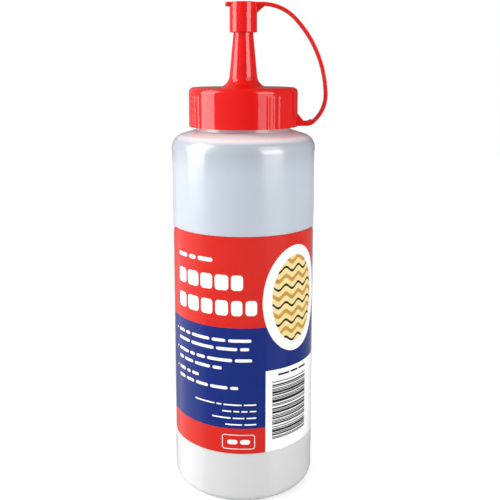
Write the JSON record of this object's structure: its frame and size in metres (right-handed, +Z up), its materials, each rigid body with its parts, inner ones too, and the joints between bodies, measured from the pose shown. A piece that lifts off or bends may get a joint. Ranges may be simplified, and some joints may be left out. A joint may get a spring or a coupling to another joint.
{
  "type": "sauce squeeze bottle",
  "caption": "Translucent squeeze bottle for sauce with a screw closure, a long spout and a small cap tethered by a strap.",
  "frame": {"origin": "centre of the base, on the surface the bottle stands on", "axes": "+Z up along the bottle's axis, -Y the middle of the label, +X the side of the closure that the strap grows from"},
  "size_m": [0.0714, 0.0668, 0.2234],
  "materials": {
    "natural_polyethylene": "satin, translucent",
    "printed_film": "gloss",
    "polyethylene_foam": "matt",
    "red_polyethylene": "gloss"
  },
  "bodies": {
    "bottle_body": {"bottle": "natural_polyethylene", "label": "printed_film"},
    "seal_carrier": {"sealing_ring": "polyethylene_foam"},
    "closure_body": {"closure": "red_polyethylene", "tether_strap": "red_polyethylene"},
    "tip_cap_body": {"tip_cap": "red_polyethylene"}
  },
  "joints": [
    {"name": "closure_lift", "type": "slide", "parent": "bottle_body", "child": "seal_carrier", "axis": [0, 0, 1], "range_m": [0, 0.0063]},
    {"name": "closure_turn", "type": "hinge", "parent": "seal_carrier", "child": "closure_body", "pos_m": [0, 0, 0.17], "axis": [0, 0, 1], "range_deg": [0, 540]},
    {"name": "tip_cap_lift", "type": "slide", "parent": "closure_body", "child": "tip_cap_body", "axis": [0, 0, 1], "range_m": [0, 0.012], "deforming": ["tether_strap"]}
  ],
  "couplings": [
    {"joint": "closure_turn", "follows": "closure_lift", "rad_per_m": 1496}
  ]
}
